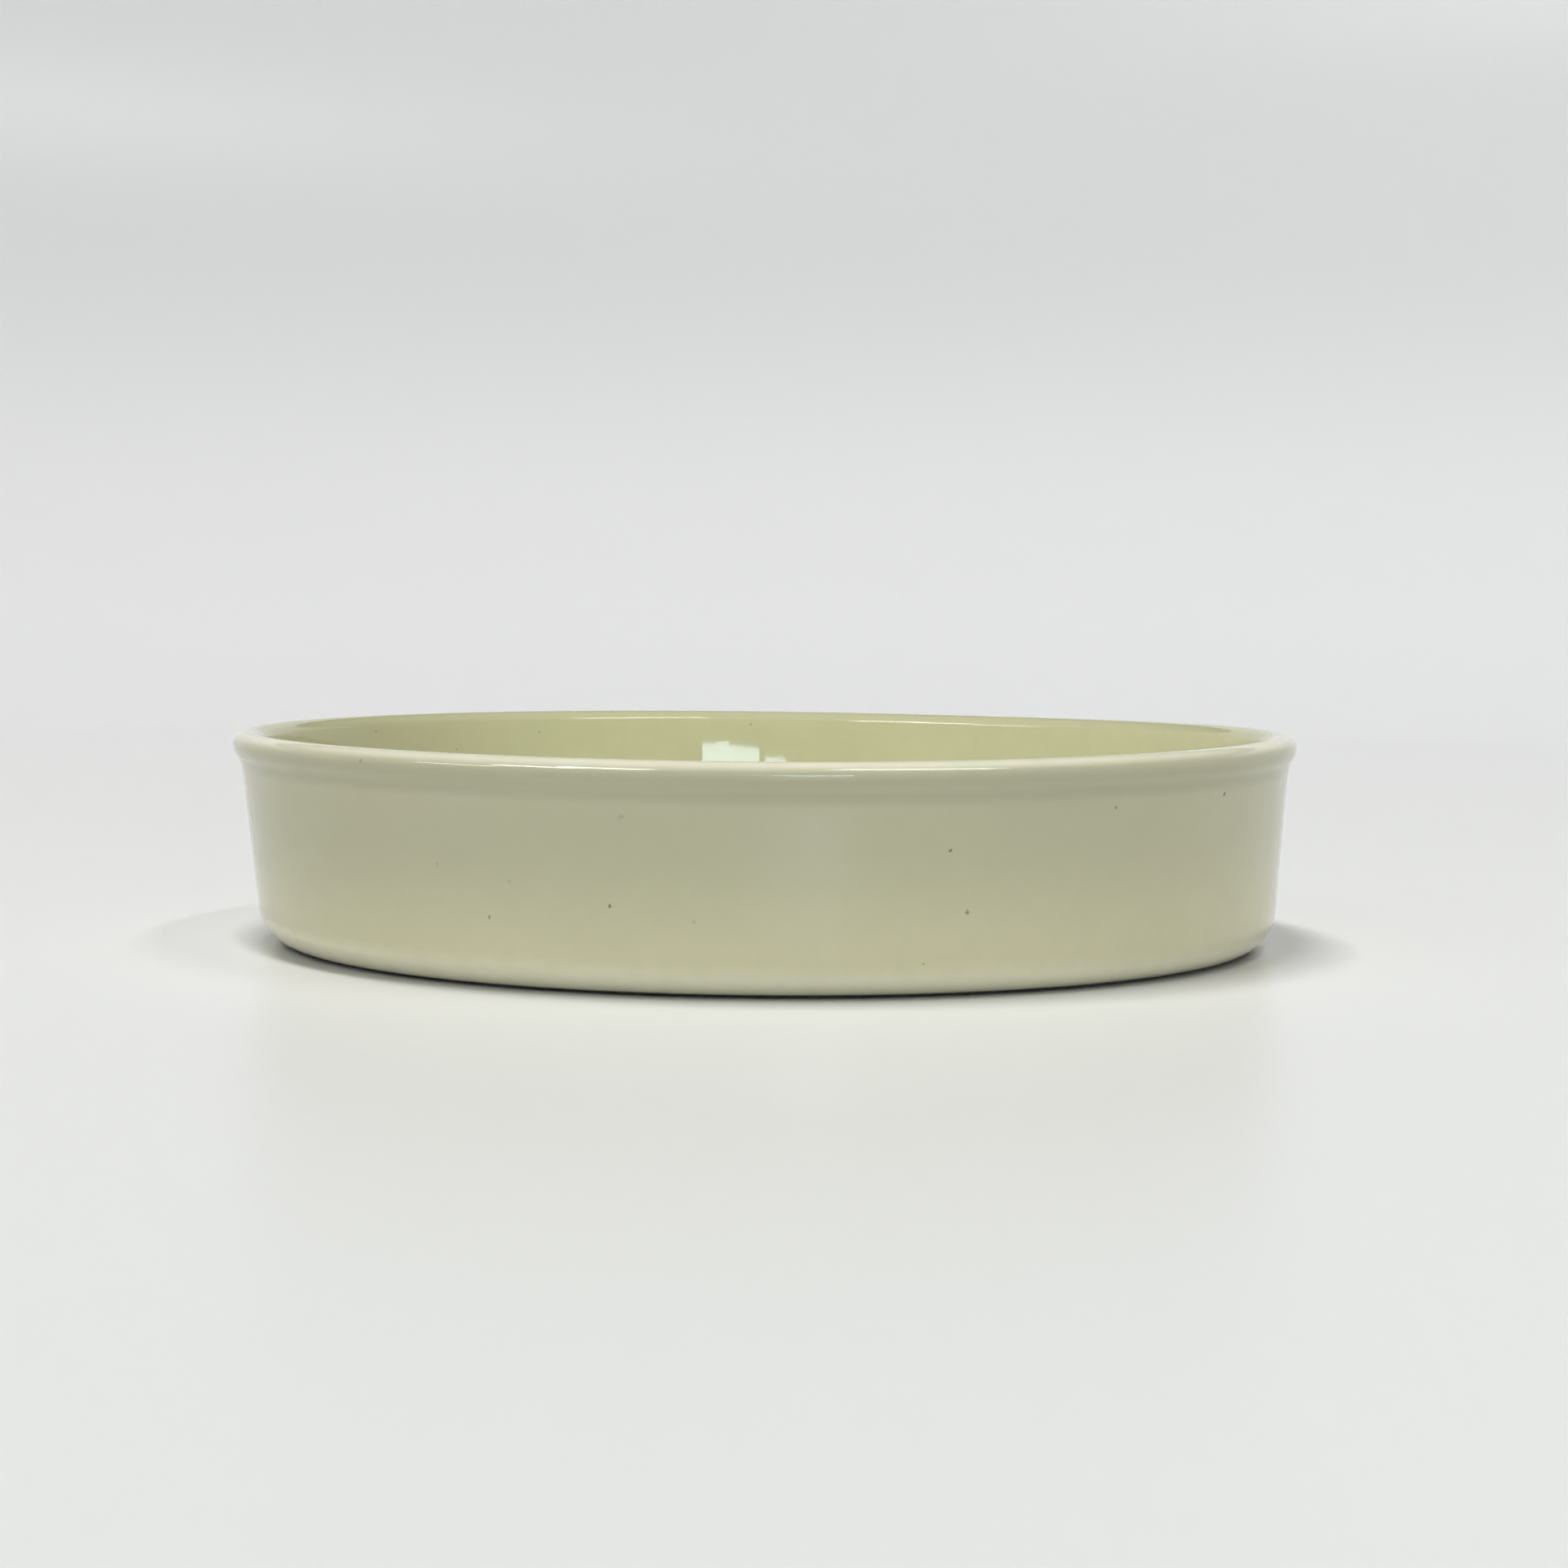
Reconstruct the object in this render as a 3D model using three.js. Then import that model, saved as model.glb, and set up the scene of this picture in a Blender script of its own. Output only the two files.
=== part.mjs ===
// Evaporating dish: a round, flat-based basin of fired clay under a cream glaze.
//
// Millimetres, +Z up. The origin is the middle of the foot's contact plane, so the dish stands on
// Z = 0. Both pieces are turned about the Z axis, from one outline of the finished, glazed surface:
// the glaze's under face and the clay beneath it follow the same outline, set in.

import * as THREE from 'three';

// Driving dimensions of the finished dish.
const HEIGHT = 50;
const RIM_RADIUS = 125;             // widest point of the bead
const FOOT_RADIUS = 111;            // where the heel leaves the table
const WALL_FLARE = 5.2;             // outward lean of the wall, degrees
const WALL_THICKNESS = 5.6;
const FLOOR_THICKNESS = 6.5;

// Heel and inside corner.
const HEEL_RADIUS = 9;
const CORNER_RADIUS = 12;

// Rolled bead round the top of the outside.
const BEAD_DROP = 2.9;              // widest point, below the top
const BEAD_SHOULDER = 3.2;          // crest to widest point, across
const BEAD_UNDERSIDE_RADIUS = 4.9;
const BEAD_UNDERSIDE_LEAN = 35;     // degrees from upright
const NECK_BLEND_DOWN = 5.2;        // run of the wall that the hollow under the bead takes up
const NECK_BLEND_UP = 1.5;          // run of the bead's underside that it takes up

// Recess under the floor, which leaves a flat ring to stand on.
const FOOT_RING_WIDTH = 10;
const RECESS_DEPTH = 1.2;
const RECESS_SLOPE_WIDTH = 3;

// Glaze: its thickness, the hairline between it and the clay, and where it stops on the heel.
const GLAZE_THICKNESS = 0.45;
const GLAZE_GAP = 0.05;
const GLAZE_STOP = 9;               // degrees round the heel from the contact plane

// Facets.
const TURN_SEGMENTS = 64;
const ARC_SEGMENTS = 5;
const SMALL_ARC_SEGMENTS = 3;

const radians = THREE.MathUtils.degToRad;
const flare = radians(WALL_FLARE);
const underside = radians(BEAD_UNDERSIDE_LEAN);
const quarterTurn = Math.PI / 2;

// Points along an elliptical arc, both ends included. The first axis is radius, the second height.
function arc(centreR, centreZ, halfWidth, halfHeight, start, end, segments) {
  const curve = new THREE.EllipseCurve(centreR, centreZ, halfWidth, halfHeight, start, end, end < start);
  return curve.getPoints(segments);
}

// The point where two straight lines cross, each given by a point and a direction.
function crossing(pointA, directionA, pointB, directionB) {
  const offset = pointB.clone().sub(pointA);
  const along = offset.cross(directionB) / directionA.cross(directionB);
  return pointA.clone().addScaledVector(directionA, along);
}

// The outside of the dish, from the glaze's lower edge up to the crest of the rim, set in by `inset`.
function outsideOutline(inset) {
  const heelRadius = HEEL_RADIUS - inset;
  const heelStart = radians(GLAZE_STOP) - quarterTurn;
  const heel = arc(FOOT_RADIUS, HEEL_RADIUS, heelRadius, heelRadius, heelStart, -flare, ARC_SEGMENTS);
  const wallStart = heel[heel.length - 1];
  const wallDirection = new THREE.Vector2(Math.sin(flare), Math.cos(flare));

  const beadZ = HEIGHT - BEAD_DROP;
  const lowerRadius = BEAD_UNDERSIDE_RADIUS - inset;
  const lowerBead = arc(RIM_RADIUS - BEAD_UNDERSIDE_RADIUS, beadZ, lowerRadius, lowerRadius,
    -underside, 0, SMALL_ARC_SEGMENTS);
  const undersideDirection = new THREE.Vector2(Math.sin(underside), Math.cos(underside));

  const corner = crossing(wallStart, wallDirection, lowerBead[0], undersideDirection);
  const neck = new THREE.QuadraticBezierCurve(
    corner.clone().addScaledVector(wallDirection, -NECK_BLEND_DOWN),
    corner,
    corner.clone().addScaledVector(undersideDirection, NECK_BLEND_UP),
  ).getPoints(SMALL_ARC_SEGMENTS);

  const upperBead = arc(RIM_RADIUS - BEAD_SHOULDER, beadZ, BEAD_SHOULDER - inset, BEAD_DROP - inset,
    0, quarterTurn, ARC_SEGMENTS);
  return [...heel, ...neck, ...lowerBead, ...upperBead.slice(1)];
}

// The inside of the dish, from the crest of the rim down to the middle of the floor, set in by `inset`.
function insideOutline(inset) {
  const outerWallR = FOOT_RADIUS + HEEL_RADIUS / Math.cos(flare) - HEEL_RADIUS * Math.tan(flare);
  const innerWallR = outerWallR - WALL_THICKNESS / Math.cos(flare);
  const wallRadiusAt = (z) => innerWallR + z * Math.tan(flare);

  const lipZ = HEIGHT - BEAD_DROP;
  const crestR = RIM_RADIUS - BEAD_SHOULDER;
  const lip = arc(crestR, lipZ, crestR - wallRadiusAt(lipZ) - inset, BEAD_DROP - inset,
    quarterTurn, Math.PI, SMALL_ARC_SEGMENTS);

  const cornerZ = FLOOR_THICKNESS + CORNER_RADIUS;
  const cornerR = wallRadiusAt(cornerZ) - CORNER_RADIUS / Math.cos(flare);
  const cornerRadius = CORNER_RADIUS + inset;
  const corner = arc(cornerR, cornerZ, cornerRadius, cornerRadius, -flare, -quarterTurn, ARC_SEGMENTS);
  const floorCentre = new THREE.Vector2(0, FLOOR_THICKNESS - inset);
  return [...lip, ...corner, floorCentre];
}

// The underside of the body, from the middle of the recess out to the edge of the standing ring.
function undersideOutline() {
  const recessEdge = FOOT_RADIUS - FOOT_RING_WIDTH;
  return [
    new THREE.Vector2(0, RECESS_DEPTH),
    new THREE.Vector2(recessEdge - RECESS_SLOPE_WIDTH, RECESS_DEPTH),
    new THREE.Vector2(recessEdge, 0),
    new THREE.Vector2(FOOT_RADIUS, 0),
  ];
}

// A named mesh of an outline turned about the Z axis.
function turned(name, outline, material) {
  const mesh = new THREE.Mesh(new THREE.LatheGeometry(outline, TURN_SEGMENTS).rotateX(quarterTurn), material);
  mesh.name = name;
  return mesh;
}

// Both sides of the dish in one line: up the outside, over the crest and down to the floor's middle.
function glazedOutline(inset) {
  return [...outsideOutline(inset), ...insideOutline(inset).slice(1)];
}

// Fired clay: the bare foot, then a line just under the glaze. Its foot's edge slopes up beneath it.
function ceramicBody() {
  const outline = [...undersideOutline(), ...glazedOutline(GLAZE_THICKNESS + GLAZE_GAP)];
  const clay = new THREE.MeshStandardMaterial({ color: 0xd9cdb0, roughness: 0.85, metalness: 0 });
  return turned('ceramic_body', outline, clay);
}

// Glaze: its under face back from the floor's middle to the heel, then the finished surface.
function glazeCoat() {
  const outline = [...glazedOutline(GLAZE_THICKNESS).reverse(), ...glazedOutline(0)];
  const glaze = new THREE.MeshStandardMaterial({ color: 0xd2d2ab, roughness: 0.12, metalness: 0 });
  return turned('glaze_coat', outline, glaze);
}

const dish = new THREE.Group();
dish.name = 'evaporating_dish';
dish.add(ceramicBody(), glazeCoat());

export default dish;
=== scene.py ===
"""Evaporating dish: a round, flat-based basin of fired clay under a cream glaze.

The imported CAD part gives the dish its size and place. Its two faceted solids are replaced by fine
turned surfaces on the same outline, a little out of true as fired ware is, with procedural materials.
Lengths are in metres, and `MM` turns millimetres into them.
"""

import math

import bpy
import numpy as np
from mathutils import Matrix, Vector


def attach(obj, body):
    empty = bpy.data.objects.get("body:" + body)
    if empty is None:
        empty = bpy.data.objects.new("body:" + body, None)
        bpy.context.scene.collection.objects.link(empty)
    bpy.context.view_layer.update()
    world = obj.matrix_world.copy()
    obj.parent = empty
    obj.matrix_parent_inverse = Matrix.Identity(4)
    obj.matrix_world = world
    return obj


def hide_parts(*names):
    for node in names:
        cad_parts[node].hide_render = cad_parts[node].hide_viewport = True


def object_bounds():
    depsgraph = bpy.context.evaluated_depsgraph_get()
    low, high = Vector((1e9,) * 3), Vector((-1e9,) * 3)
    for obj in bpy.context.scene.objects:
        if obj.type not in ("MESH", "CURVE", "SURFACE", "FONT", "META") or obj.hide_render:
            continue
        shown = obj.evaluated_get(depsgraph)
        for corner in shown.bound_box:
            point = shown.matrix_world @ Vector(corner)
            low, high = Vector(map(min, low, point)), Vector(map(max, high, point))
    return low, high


MM = 0.001

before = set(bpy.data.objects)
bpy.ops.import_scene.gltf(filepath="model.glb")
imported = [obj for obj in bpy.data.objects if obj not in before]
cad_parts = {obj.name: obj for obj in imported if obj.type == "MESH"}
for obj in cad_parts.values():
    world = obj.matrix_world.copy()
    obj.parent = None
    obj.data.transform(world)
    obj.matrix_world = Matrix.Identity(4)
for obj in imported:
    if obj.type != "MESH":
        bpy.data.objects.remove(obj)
cad_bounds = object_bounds()

# Sizes that the frame gives.
RIM_RADIUS = cad_bounds[1].x
HEIGHT = cad_bounds[1].z
FOOT_RADIUS = max(v.co.xy.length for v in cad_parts["ceramic_body"].data.vertices if v.co.z < 0.01 * MM)

# The rest of the outline, as the CAD part has it.
WALL_FLARE = math.radians(5.2)
WALL_THICKNESS = 5.6 * MM
FLOOR_THICKNESS = 6.5 * MM
HEEL_RADIUS = 9 * MM
CORNER_RADIUS = 12 * MM
BEAD_DROP = 2.9 * MM
BEAD_SHOULDER = 3.2 * MM
BEAD_UNDERSIDE_RADIUS = 4.9 * MM
BEAD_UNDERSIDE_LEAN = math.radians(35)
NECK_BLEND_DOWN = 5.2 * MM
NECK_BLEND_UP = 1.5 * MM
FOOT_RING_WIDTH = 10 * MM
RECESS_DEPTH = 1.2 * MM
RECESS_SLOPE_WIDTH = 3 * MM
GLAZE_THICKNESS = 0.45 * MM
GLAZE_GAP = 0.05 * MM
GLAZE_STOP = math.radians(9)

# How far the firing pulled the dish out of true. The rim stays inside the CAD part's height, so its
# waves are drops from the highest point, and the foot moves sideways rather than the rim.
RIM_WAVES = (
    # waves round the rim, height, bearing of the crest
    (1, 0.24 * MM, math.radians(0)),
    (2, 0.41 * MM, math.radians(-12)),
    (3, 0.20 * MM, math.radians(-12)),
)
FOOT_SHIFT = 1.05 * MM
WALL_HOLLOW = 0.08 * MM             # depth of the four shallow hollows in the wall

TURN_SEGMENTS = 192
QUARTER = math.pi / 2


# Outline of the dish: points (radius, height), up the outside and down the inside.

def arc(centre_r, centre_z, half_width, half_height, start, end, segments):
    angles = np.linspace(start, end, segments + 1)
    return [(centre_r + half_width * math.cos(a), centre_z + half_height * math.sin(a)) for a in angles]


def straight(start, end, segments):
    """Points between two ends, leaving both ends out."""
    steps = np.arange(1, segments) / segments
    return [tuple(np.add(start, np.subtract(end, start) * s)) for s in steps]


def crossing(point_a, direction_a, point_b, direction_b):
    """Where two straight lines cross, each given by a point and a direction."""
    lines = np.array([direction_a, np.negative(direction_b)]).T
    along = np.linalg.solve(lines, np.subtract(point_b, point_a))[0]
    return np.add(point_a, np.multiply(direction_a, along))


def outside_outline(inset):
    """From the glaze's lower edge on the heel to the crest of the rim, set in by inset."""
    heel_radius = HEEL_RADIUS - inset
    heel = arc(FOOT_RADIUS, HEEL_RADIUS, heel_radius, heel_radius, GLAZE_STOP - QUARTER, -WALL_FLARE, 16)
    wall_way = (math.sin(WALL_FLARE), math.cos(WALL_FLARE))

    bead_z = HEIGHT - BEAD_DROP
    lower_radius = BEAD_UNDERSIDE_RADIUS - inset
    lower_bead = arc(RIM_RADIUS - BEAD_UNDERSIDE_RADIUS, bead_z, lower_radius, lower_radius,
                     -BEAD_UNDERSIDE_LEAN, 0, 8)
    underside_way = (math.sin(BEAD_UNDERSIDE_LEAN), math.cos(BEAD_UNDERSIDE_LEAN))

    corner = crossing(heel[-1], wall_way, lower_bead[0], underside_way)
    neck_start = corner - np.multiply(wall_way, NECK_BLEND_DOWN)
    neck_end = corner + np.multiply(underside_way, NECK_BLEND_UP)
    neck = [tuple((1 - t) ** 2 * neck_start + 2 * t * (1 - t) * corner + t * t * neck_end)
            for t in np.linspace(0, 1, 9)]
    upper_bead = arc(RIM_RADIUS - BEAD_SHOULDER, bead_z, BEAD_SHOULDER - inset, BEAD_DROP - inset,
                     0, QUARTER, 16)
    wall = straight(heel[-1], neck[0], 14)
    underside = straight(neck[-1], lower_bead[0], 2)
    return heel + wall + neck + underside + lower_bead + upper_bead[1:]


def inside_wall_radius(z):
    outer = FOOT_RADIUS + HEEL_RADIUS / math.cos(WALL_FLARE) - HEEL_RADIUS * math.tan(WALL_FLARE)
    return outer - WALL_THICKNESS / math.cos(WALL_FLARE) + z * math.tan(WALL_FLARE)


def inside_outline(inset):
    """From the crest of the rim to the middle of the floor, set in by inset."""
    lip_z = HEIGHT - BEAD_DROP
    crest_r = RIM_RADIUS - BEAD_SHOULDER
    half_width, half_height = crest_r - inside_wall_radius(lip_z) - inset, BEAD_DROP - inset
    meets_wall = math.pi - math.atan(half_height / half_width * math.tan(WALL_FLARE))
    lip = arc(crest_r, lip_z, half_width, half_height, QUARTER, meets_wall, 12)
    corner_z = FLOOR_THICKNESS + CORNER_RADIUS
    corner_r = inside_wall_radius(corner_z) - CORNER_RADIUS / math.cos(WALL_FLARE)
    corner_radius = CORNER_RADIUS + inset
    corner = arc(corner_r, corner_z, corner_radius, corner_radius, -WALL_FLARE, -QUARTER, 12)
    floor_middle = (0, FLOOR_THICKNESS - inset)
    wall = straight(lip[-1], corner[0], 10)
    floor = straight(corner[-1], floor_middle, 14)
    return lip + wall + corner + floor + [floor_middle]


def glazed_outline(inset):
    return outside_outline(inset) + inside_outline(inset)[1:]


def underside_outline():
    """From the middle of the recess out over the standing ring to the edge of the foot."""
    recess_edge = FOOT_RADIUS - FOOT_RING_WIDTH
    slope_start = (recess_edge - RECESS_SLOPE_WIDTH, RECESS_DEPTH)
    slope = [(slope_start[0] + RECESS_SLOPE_WIDTH * s, RECESS_DEPTH * (1 + math.cos(math.pi * s)) / 2)
             for s in np.linspace(0, 1, 9)]
    middle = (0, RECESS_DEPTH)
    ring_end = (FOOT_RADIUS, 0)
    return [middle] + straight(middle, slope[0], 14) + slope + straight(slope[-1], ring_end, 5) + [ring_end]


# Turned surfaces.

def out_of_true(x, y, z, inside):
    """Moves points as the firing did: a rim that isn't quite level, shallow hollows in the wall, and
    the outside leaning to a foot a little off centre. The inner wall doesn't lean."""
    bearing = np.arctan2(y, x)
    drop = sum(height * (1 - np.cos(count * (bearing - crest))) for count, height, crest in RIM_WAVES)
    up = np.clip(z / (HEIGHT - BEAD_DROP), 0, 1)
    hollow = WALL_HOLLOW * (1 - np.cos(4 * bearing)) / 2 * np.sin(math.pi * up)
    shrink = 1 - hollow / RIM_RADIUS
    return x * shrink + FOOT_SHIFT * (1 - up) * (1 - inside), y * shrink, z * (1 - drop / HEIGHT)


def bend_of(outline):
    """How sharply the outline turns at each point: 1 on a tight outward edge, -1 in a tight corner."""
    points = np.array(outline)
    steps = np.diff(points, axis=0)
    lengths = np.maximum(np.hypot(*steps.T), 1e-6)
    way = np.unwrap(np.arctan2(steps[:, 1], steps[:, 0]))
    turn = np.zeros(len(points))
    turn[1:-1] = np.diff(way) / ((lengths[1:] + lengths[:-1]) / 2)
    along = np.concatenate([[0], np.cumsum(lengths)])
    reach = 2.5 * MM
    weight = np.exp(-((along[:, None] - along[None, :]) / reach) ** 2)
    spread = np.concatenate([[0], lengths]) + np.concatenate([lengths, [0]])
    smooth = (weight * spread) @ turn / (weight @ spread)
    return np.clip(smooth * 6 * MM, -1, 1)


def turned(name, outline, material):
    """A closed piece, turned about the Z axis from an outline that starts and ends on it."""
    radii, heights = np.array(outline).T
    mid_wall = inside_wall_radius(heights) + WALL_THICKNESS / 2
    border = np.where(heights > HEIGHT - BEAD_DROP, RIM_RADIUS - BEAD_SHOULDER, mid_wall)
    above_floor = heights > FLOOR_THICKNESS - GLAZE_THICKNESS * 2
    inside = np.clip((border - radii) / (2 * MM) + 0.5, 0, 1) * above_floor

    def per_vertex(values):
        """Values along the outline, for every point of the mesh: ring by ring, then the two poles."""
        return np.append(np.repeat(values[1:-1], TURN_SEGMENTS), values[[0, -1]])

    ring = np.linspace(0, 2 * math.pi, TURN_SEGMENTS, endpoint=False)
    inner = np.array(outline[1:-1])
    x = np.outer(inner[:, 0], np.cos(ring)).ravel()
    y = np.outer(inner[:, 0], np.sin(ring)).ravel()
    z = np.repeat(inner[:, 1], TURN_SEGMENTS)
    x = np.append(x, [0, 0])
    y = np.append(y, [0, 0])
    z = np.append(z, [outline[0][1], outline[-1][1]])
    vertices = np.stack(out_of_true(x, y, z, per_vertex(inside)), axis=-1)

    first_pole, last_pole = len(vertices) - 2, len(vertices) - 1
    last_ring = (len(inner) - 1) * TURN_SEGMENTS
    faces = []
    for i in range(TURN_SEGMENTS):
        j = (i + 1) % TURN_SEGMENTS
        faces.append((first_pole, j, i))
        faces.append((last_pole, last_ring + i, last_ring + j))
        for row in range(len(inner) - 1):
            low = row * TURN_SEGMENTS
            high = low + TURN_SEGMENTS
            faces.append((low + i, low + j, high + j, high + i))

    mesh = bpy.data.meshes.new(name)
    mesh.from_pydata(vertices.tolist(), [], faces)
    for attribute, values in (("bend", bend_of(outline)), ("inside", inside), ("level", heights / HEIGHT)):
        mesh.attributes.new(attribute, "FLOAT", "POINT").data.foreach_set("value", per_vertex(values))
    mesh.polygons.foreach_set("use_smooth", [True] * len(faces))
    mesh.materials.append(material)
    mesh.validate()
    piece = bpy.data.objects.new(name, mesh)
    bpy.context.collection.objects.link(piece)
    return piece


# Materials.

def node(tree, kind, inputs=None, **settings):
    """Adds a node. Each input is a value or another node's output."""
    made = tree.nodes.new(kind)
    for key, value in settings.items():
        setattr(made, key, value)
    for key, value in (inputs or {}).items():
        if isinstance(value, bpy.types.NodeSocket):
            tree.links.new(value, made.inputs[key])
        else:
            made.inputs[key].default_value = value
    return made


def new_material(name):
    material = bpy.data.materials.new(name)
    material.use_nodes = True
    return material, material.node_tree, material.node_tree.nodes["Principled BSDF"]


def maths(tree, operation, *values, clamp=False):
    made = node(tree, "ShaderNodeMath", operation=operation, use_clamp=clamp)
    for socket, value in zip(made.inputs, values):
        if isinstance(value, bpy.types.NodeSocket):
            tree.links.new(value, socket)
        else:
            socket.default_value = value
    return made.outputs[0]


def vector_maths(tree, operation, inputs, output="Vector"):
    return node(tree, "ShaderNodeVectorMath", inputs, operation=operation).outputs[output]


def noise(tree, where, scale, detail=2.0, roughness=0.5):
    return node(tree, "ShaderNodeTexNoise",
                {"Vector": where, "Scale": scale, "Detail": detail, "Roughness": roughness}).outputs[0]


def between(tree, value, low, high):
    """0 where value is at low, 1 at high, and smooth in between."""
    return node(tree, "ShaderNodeMapRange", {0: value, 1: low, 2: high},
                interpolation_type="SMOOTHSTEP").outputs[0]


def ranging(tree, share, low, high):
    """A value that goes straight from low to high as share goes from 0 to 1."""
    return node(tree, "ShaderNodeMapRange", {0: share, 3: low, 4: high}).outputs[0]


def blend_colour(tree, share, under, over):
    made = node(tree, "ShaderNodeMix", {0: share, 6: under, 7: over}, data_type="RGBA")
    return made.outputs[2]


def on_dish(bearing, height):
    """A point of the glazed outer wall, from its bearing (degrees from +X) and height (mm)."""
    angle = math.radians(bearing)
    z = height * MM
    radius = inside_wall_radius(z) + WALL_THICKNESS / math.cos(WALL_FLARE)
    shift = FOOT_SHIFT * (1 - z / (HEIGHT - BEAD_DROP))
    return (radius * math.cos(angle) + shift, radius * math.sin(angle), z)


# Small faults of the glaze: bearing in degrees from +X, height in mm, width in mm and how dark.
OUTSIDE_SPECKS = (
    (241.9, 15.4, 0.8, 0.75), (287.8, 30.7, 0.8, 0.8), (289.7, 17.9, 1.0, 0.65), (254.9, 19.0, 0.75, 0.75),
    (323.7, 39.7, 1.0, 0.8), (306.4, 38.4, 0.75, 0.65), (285.3, 7.5, 0.65, 0.5), (200.4, 30.7, 0.9, 0.6),
    (244.4, 23.1, 0.9, 0.2), (236.0, 25.8, 0.8, 0.2), (256.4, 37.2, 1.1, 0.2), (263.1, 16.2, 0.9, 0.2),
)
INSIDE_SPECKS = (
    (92.0, 45.4, 0.7, 0.7), (148.5, 45.4, 0.7, 0.6), (121.4, 43.6, 0.6, 0.4), (134.4, 39.8, 0.7, 0.5),
)
BEAD_SPECKS = ((227.5, 46.6, 0.8, 0.5), (221.4, 47.4, 0.7, 0.3), (350.2, 46.4, 1.2, 0.4))


def speck_shade(tree, where):
    """How dark the specks make each point, from 0 to 1."""
    shade = None
    inward = WALL_THICKNESS / math.cos(WALL_FLARE)
    bead_swell = RIM_RADIUS - inside_wall_radius(HEIGHT - BEAD_DROP) - inward
    for specks, depth in ((OUTSIDE_SPECKS, 0), (INSIDE_SPECKS, inward), (BEAD_SPECKS, -bead_swell)):
        for bearing, height, width, darkness in specks:
            x, y, z = on_dish(bearing, height)
            shrink = 1 - depth / math.hypot(x, y)
            reach = vector_maths(tree, "DISTANCE", {0: where, 1: (x * shrink, y * shrink, z)}, "Value")
            spot = node(tree, "ShaderNodeMapRange",
                        {0: reach, 1: width * 0.6 * MM, 2: width * 0.3 * MM, 3: 0.0, 4: darkness}).outputs[0]
            shade = spot if shade is None else maths(tree, "MAXIMUM", shade, spot)
    return shade


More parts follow.
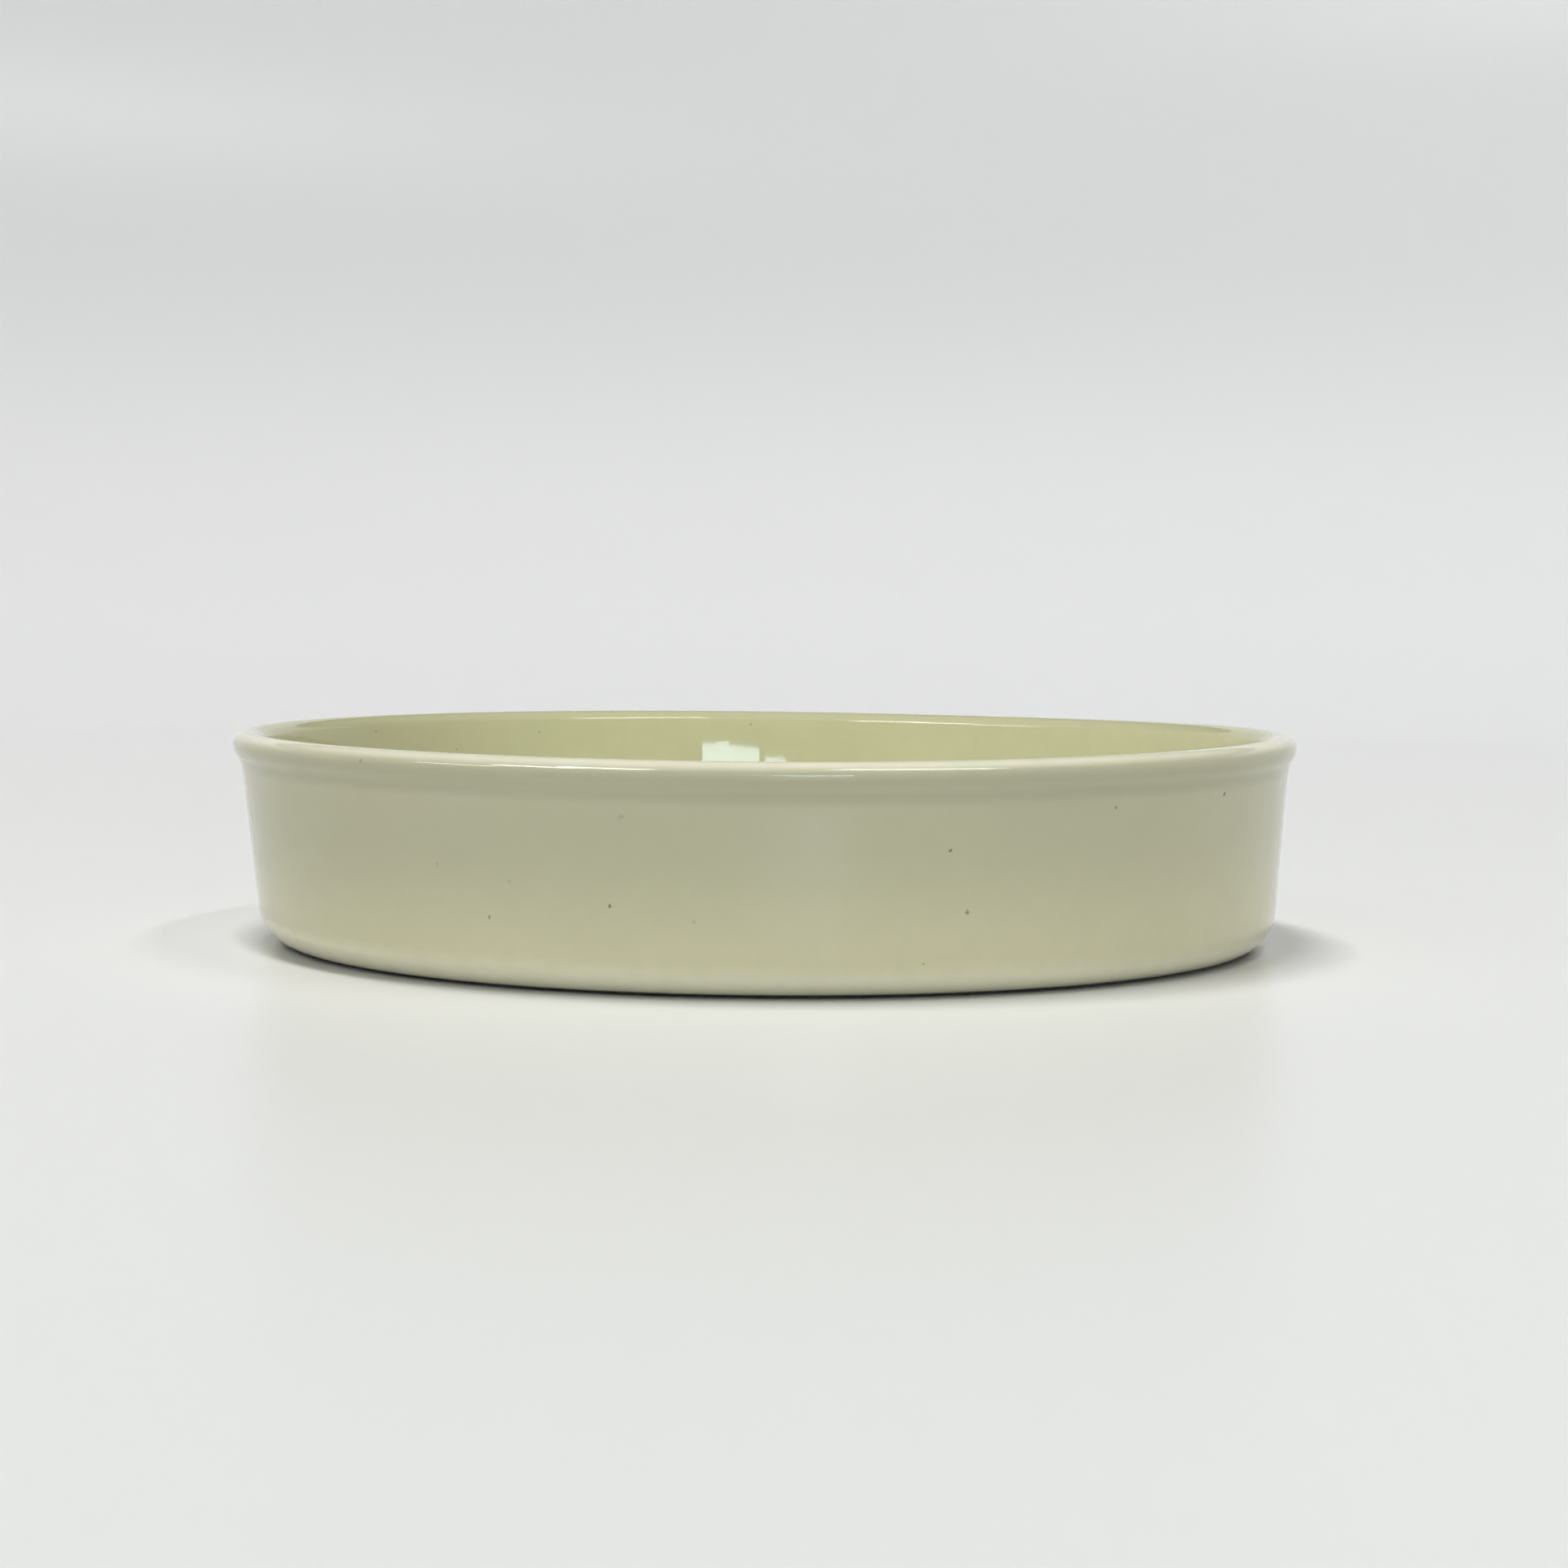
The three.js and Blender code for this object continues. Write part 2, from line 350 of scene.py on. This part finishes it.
def glaze_material():
    material, tree, shader = new_material("cream_glaze")
    plain = node(tree, "ShaderNodeTexCoord").outputs["Object"]
    bend = node(tree, "ShaderNodeAttribute", attribute_name="bend").outputs["Fac"]
    inside = node(tree, "ShaderNodeAttribute", attribute_name="inside").outputs["Fac"]
    level = node(tree, "ShaderNodeAttribute", attribute_name="level").outputs["Fac"]

    # Colour, with much of the light and shade painted in: the outer wall is painted deeper towards the
    # top, with a painted shadow under the bead; it is paler over the crest, partly thin glaze and partly a
    # painted highlight, painted light over the heel, and a painted contact shade where it meets the foot.
    # The inside is painted paler than the outside, with painted shade on its -X side and all round its lip.
    clouds = between(tree, noise(tree, plain, 24, detail=3), 0.3, 0.7)
    # Painted light and shade: the outer wall runs from a paler colour at the foot to a deeper one at the top.
    low = blend_colour(tree, clouds, (0.665, 0.628, 0.402, 1), (0.690, 0.648, 0.415, 1))
    high = blend_colour(tree, clouds, (0.528, 0.510, 0.342, 1), (0.548, 0.528, 0.352, 1))
    outer = blend_colour(tree, between(tree, level, 0.05, 0.65), low, high)
    # Painted light: the inside gets a paler colour than the outside, a lit copy of the same glaze.
    inner = blend_colour(tree, clouds, (0.660, 0.650, 0.398, 1), (0.690, 0.676, 0.415, 1))
    # Painted shade on the inside's -X side.
    left = between(tree, node(tree, "ShaderNodeSeparateXYZ", {0: plain}).outputs["X"], -50 * MM, -110 * MM)
    inner = blend_colour(tree, maths(tree, "MULTIPLY", left, 0.6), inner, (0.44, 0.42, 0.255, 1))
    colour = blend_colour(tree, inside, outer, inner)
    outside = maths(tree, "SUBTRACT", 1.0, inside)
    # Paler over the crest, partly thin glaze and partly a painted highlight, and over the heel as painted
    # light.
    crest = maths(tree, "MULTIPLY", between(tree, level, 0.955, 0.99), outside)
    heel = maths(tree, "MULTIPLY", between(tree, level, 0.17, 0.06), outside)
    thin_glaze_and_painted_light = maths(tree, "MAXIMUM", maths(tree, "MULTIPLY", crest, 0.65), maths(tree, "MULTIPLY", heel, 0.65))
    colour = blend_colour(tree, thin_glaze_and_painted_light, colour, (0.88, 0.86, 0.69, 1))
    # Painted shadow under the bead.
    under_bead = maths(tree, "MULTIPLY", between(tree, level, 0.80, 0.86), between(tree, level, 0.96, 0.90))
    painted_bead_shadow = maths(tree, "MULTIPLY", maths(tree, "MULTIPLY", under_bead, outside), 0.85)
    colour = blend_colour(tree, painted_bead_shadow, colour, (0.42, 0.41, 0.275, 1))
    # Painted shade all round the inside of the lip.
    lip = maths(tree, "MULTIPLY", between(tree, level, 0.94, 0.98), inside)
    colour = blend_colour(tree, maths(tree, "MULTIPLY", lip, 0.7), colour, (0.47, 0.46, 0.29, 1))
    mottle = between(tree, noise(tree, plain, 190, detail=3), 0.35, 0.65)
    colour = blend_colour(tree, maths(tree, "MULTIPLY", mottle, 0.06), colour, (0.44, 0.43, 0.28, 1))
    jitter = node(tree, "ShaderNodeTexNoise", {"Vector": plain, "Scale": 1400, "Detail": 2}).outputs[1]
    shifted = vector_maths(tree, "SUBTRACT", {0: jitter, 1: (0.5, 0.5, 0.5)})
    shifted = vector_maths(tree, "SCALE", {0: shifted, 3: 1.2 * MM})
    rough_edged = vector_maths(tree, "ADD", {0: plain, 1: shifted})
    specks = speck_shade(tree, rough_edged)
    colour = blend_colour(tree, specks, colour, (0.10, 0.09, 0.055, 1))
    # Painted contact shade: a dark line where the glaze meets the foot.
    painted_contact_shade = maths(tree, "MULTIPLY", between(tree, level, 0.024, 0.010), outside)
    colour = blend_colour(tree, painted_contact_shade, colour, (0.015, 0.012, 0.006, 1))
    tree.links.new(colour, shader.inputs["Base Color"])

    # Surface: smooth glass over a slightly uneven pot, with a faint orange-peel skin, a wavier bead
    # and a few pits.
    peel = maths(tree, "MULTIPLY", noise(tree, plain, 420), 0.0015 * MM)
    sway = maths(tree, "MULTIPLY", noise(tree, plain, 45, detail=0), 0.02 * MM)
    beaded = maths(tree, "MULTIPLY", between(tree, bend, 0.3, 0.9), 0.03 * MM)
    waves = maths(tree, "MULTIPLY", noise(tree, plain, 260, detail=1), beaded)
    pits = maths(tree, "MULTIPLY", specks, -0.05 * MM)
    height = maths(tree, "ADD", maths(tree, "ADD", peel, sway), maths(tree, "ADD", waves, pits))
    bump = node(tree, "ShaderNodeBump", {"Strength": 1, "Distance": 1, "Height": height})
    tree.links.new(bump.outputs[0], shader.inputs["Normal"])
    tree.links.new(ranging(tree, noise(tree, plain, 70, detail=4), 0.01, 0.04), shader.inputs["Roughness"])
    shader.inputs["IOR"].default_value = 1.52
    return material


def clay_material():
    material, tree, shader = new_material("fired_clay")
    plain = node(tree, "ShaderNodeTexCoord").outputs["Object"]
    up = node(tree, "ShaderNodeSeparateXYZ", {0: plain}).outputs["Z"]
    flat = vector_maths(tree, "MULTIPLY", {0: plain, 1: (1, 1, 0)})
    radius = vector_maths(tree, "LENGTH", {0: flat}, "Value")

    # Colour: buff bisque, browner beside the glaze, with grey scuffs where the ring slides on tables.
    grain = between(tree, noise(tree, plain, 900, detail=4), 0.35, 0.65)
    colour = blend_colour(tree, grain, (0.56, 0.48, 0.35, 1), (0.66, 0.58, 0.44, 1))
    clouds = between(tree, noise(tree, plain, 30, detail=4), 0.3, 0.7)
    colour = blend_colour(tree, maths(tree, "MULTIPLY", clouds, 0.35), colour, (0.60, 0.47, 0.31, 1))
    halo = between(tree, radius, FOOT_RADIUS - 3.5 * MM, FOOT_RADIUS)
    colour = blend_colour(tree, maths(tree, "MULTIPLY", halo, 0.6), colour, (0.34, 0.21, 0.11, 1))
    scuffs = maths(tree, "MULTIPLY", between(tree, up, 0.25 * MM, 0.02 * MM),
                   between(tree, noise(tree, plain, 130, detail=5, roughness=0.7), 0.45, 0.62))
    colour = blend_colour(tree, maths(tree, "MULTIPLY", scuffs, 0.6), colour, (0.30, 0.29, 0.27, 1))
    tree.links.new(colour, shader.inputs["Base Color"])

    # Surface: fine turning rings under a sandy grain, rubbed smoother by the scuffs.
    uneven = maths(tree, "ADD", radius, maths(tree, "MULTIPLY", noise(tree, plain, 40), 1.5 * MM))
    ring_spacing = 2.4 * MM
    rings = maths(tree, "SINE", maths(tree, "MULTIPLY", uneven, 2 * math.pi / ring_spacing))
    rings = maths(tree, "MULTIPLY", rings, 0.02 * MM)
    height = maths(tree, "ADD", rings, maths(tree, "MULTIPLY", grain, 0.02 * MM))
    bump = node(tree, "ShaderNodeBump", {"Strength": 1, "Distance": 1, "Height": height})
    tree.links.new(bump.outputs[0], shader.inputs["Normal"])
    tree.links.new(ranging(tree, scuffs, 0.88, 0.55), shader.inputs["Roughness"])
    return material


# Studio.

def sweep():
    """A pale floor that curves up into a low wall all the way round."""
    floor_radius, curve_radius, top = 1.0, 0.5, 0.65
    outline = [(0, 0)] + arc(floor_radius, curve_radius, curve_radius, curve_radius, -QUARTER, 0, 24)
    outline.append((floor_radius + curve_radius, top))
    count = 96
    ring = np.linspace(0, 2 * math.pi, count, endpoint=False)
    vertices = [(r * math.cos(a), r * math.sin(a), z) for r, z in outline[1:] for a in ring] + [(0, 0, 0)]
    faces = []
    for i in range(count):
        j = (i + 1) % count
        faces.append((len(vertices) - 1, i, j))
        for row in range(len(outline) - 2):
            faces.append((row * count + i, (row + 1) * count + i, (row + 1) * count + j, row * count + j))
    mesh = bpy.data.meshes.new("sweep")
    mesh.from_pydata(vertices, [], faces)
    mesh.polygons.foreach_set("use_smooth", [True] * len(faces))
    material, tree, shader = new_material("pale_paper")
    where = node(tree, "ShaderNodeTexCoord").outputs["Object"]
    away = vector_maths(tree, "LENGTH", {0: where}, "Value")
    up = node(tree, "ShaderNodeSeparateXYZ", {0: where}).outputs["Z"]
    # The paper is one colour; it is painted paler away from the dish and darker up the wall, as painted light
    # and shade.
    near, far, high = (0.80, 0.805, 0.785, 1), (0.89, 0.895, 0.885, 1), (0.75, 0.76, 0.755, 1)
    colour = blend_colour(tree, between(tree, away, 0.3, 1.1), near, far)
    colour = blend_colour(tree, between(tree, up, 0.10, 0.34), colour, high)
    tree.links.new(colour, shader.inputs["Base Color"])
    shader.inputs["Roughness"].default_value = 0.3
    mesh.materials.append(material)
    stage = bpy.data.objects.new("sweep", mesh)
    bpy.context.collection.objects.link(stage)


def panel(name, place, size, radiance, shows=None, target=(0, 0, 0), colour=(1, 1, 1)):
    """A rectangular light that faces the target, as bright as the given radiance."""
    light = bpy.data.lights.new(name, "AREA")
    light.shape = "RECTANGLE"
    light.size, light.size_y = size
    light.color = colour
    light.energy = radiance * math.pi * size[0] * size[1]
    lamp = bpy.data.objects.new(name, light)
    lamp.location = place
    lamp.rotation_mode = "QUATERNION"
    lamp.rotation_quaternion = (Vector(target) - Vector(place)).to_track_quat("-Z", "Y")
    lamp.visible_camera = False
    for kind_of_ray, seen in (shows or {}).items():
        setattr(lamp, kind_of_ray, seen)
    bpy.context.collection.objects.link(lamp)


def glow(tree, direction, tightness, colour):
    """Light from one broad part of the room, strongest along the direction."""
    way = node(tree, "ShaderNodeTexCoord").outputs["Generated"]
    facing = vector_maths(tree, "DOT_PRODUCT", {0: way, 1: Vector(direction).normalized()}, "Value")
    strength = maths(tree, "POWER", maths(tree, "MAXIMUM", facing, 0.0), tightness)
    return vector_maths(tree, "SCALE", {0: colour, 3: strength})


DAYLIGHT = (0.80, 1.0, 1.13)

# Panes of a window in front of the dish, which shows in the back of the inner wall: side, place,
# width and height, and the way each faces. The first two stand side by side in one plane.
WINDOW_PANES = (
    ("left", (0.2462, -1.0388, 0.1513), (0.133, 0.0976), (-0.148, 0.989, 0)),
    ("middle", (0.1057, -1.0598, 0.1499), (0.153, 0.0948), (-0.148, 0.989, 0)),
    ("right", (-0.0480, -1.05, 0.1746), (0.104, 0.0272), (0, 1.05, 0)),
)


def studio():
    sweep()
    # Two soft keys overhead, which don't show in the glaze, and the lamps that only show in it.
    key = {"visible_glossy": False}
    panel("key_middle", (-0.25, -0.17, 2.0), (0.95, 0.12), 83, key)
    panel("key_right", (0.80, -0.16, 2.0), (1.0, 0.12), 24, key)
    shine = {"visible_diffuse": False}
    panel("lamp_left_near", (-0.68, -0.88, 1.04), (0.45, 0.28), 13, shine)
    panel("lamp_left_middle", (-0.96, -0.75, 0.90), (0.45, 0.22), 12, shine)
    panel("lamp_left_far", (-1.25, -0.51, 0.64), (0.50, 0.12), 8, shine)
    panel("lamp_right", (1.06, -1.05, 2.0), (1.30, 0.35), 13, shine, target=(1.06, -1.05, 0))
    for side, place, size, way in WINDOW_PANES:
        panel(f"window_{side}_pane", place, size, 8.2, target=Vector(place) + Vector(way), colour=DAYLIGHT)
    world = bpy.data.worlds.new("room")
    world.use_nodes = True
    tree = world.node_tree
    left_glow = glow(tree, (-0.67, -0.47, 0.57), 8.0, (0.75, 0.77, 0.80))
    right_glow = glow(tree, (0.58, -0.58, 0.57), 8.0, (0.24, 0.23, 0.22))
    both = vector_maths(tree, "ADD", {0: left_glow, 1: right_glow})
    tree.links.new(both, tree.nodes["Background"].inputs["Color"])
    bpy.context.scene.world = world
    bpy.context.scene.view_settings.view_transform = "Standard"


def camera():
    """A long lens about six rim radii in front of the dish, a little above its rim."""
    pan, pitch, roll = 0.0047, 0.0633, 0.0085
    data = bpy.data.cameras.new("camera")
    data.sensor_width = 36
    data.lens = 72.1
    data.clip_start = 0.01
    eye = bpy.data.objects.new("camera", data)
    place = Matrix.Translation((FOOT_SHIFT, -5.98 * RIM_RADIUS, 0.671 * RIM_RADIUS))
    turn = Matrix.Rotation(-pan, 4, "Z") @ Matrix.Rotation(QUARTER - pitch, 4, "X")
    eye.matrix_world = place @ turn @ Matrix.Rotation(roll, 4, "Z")
    bpy.context.collection.objects.link(eye)
    bpy.context.scene.camera = eye


def dish():
    glaze_outline = glazed_outline(GLAZE_THICKNESS)[::-1] + glazed_outline(0)
    glaze = turned("cream_glaze_coat", glaze_outline, glaze_material())
    clay_outline = underside_outline() + glazed_outline(GLAZE_THICKNESS + GLAZE_GAP)
    clay = turned("fired_clay_body", clay_outline, clay_material())
    for piece, cad_node, slot in ((glaze, "glaze_coat", "cream_glaze"), (clay, "ceramic_body", "fired_clay")):
        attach(piece, "root")
        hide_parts(cad_node)


camera()
dish()
studio()
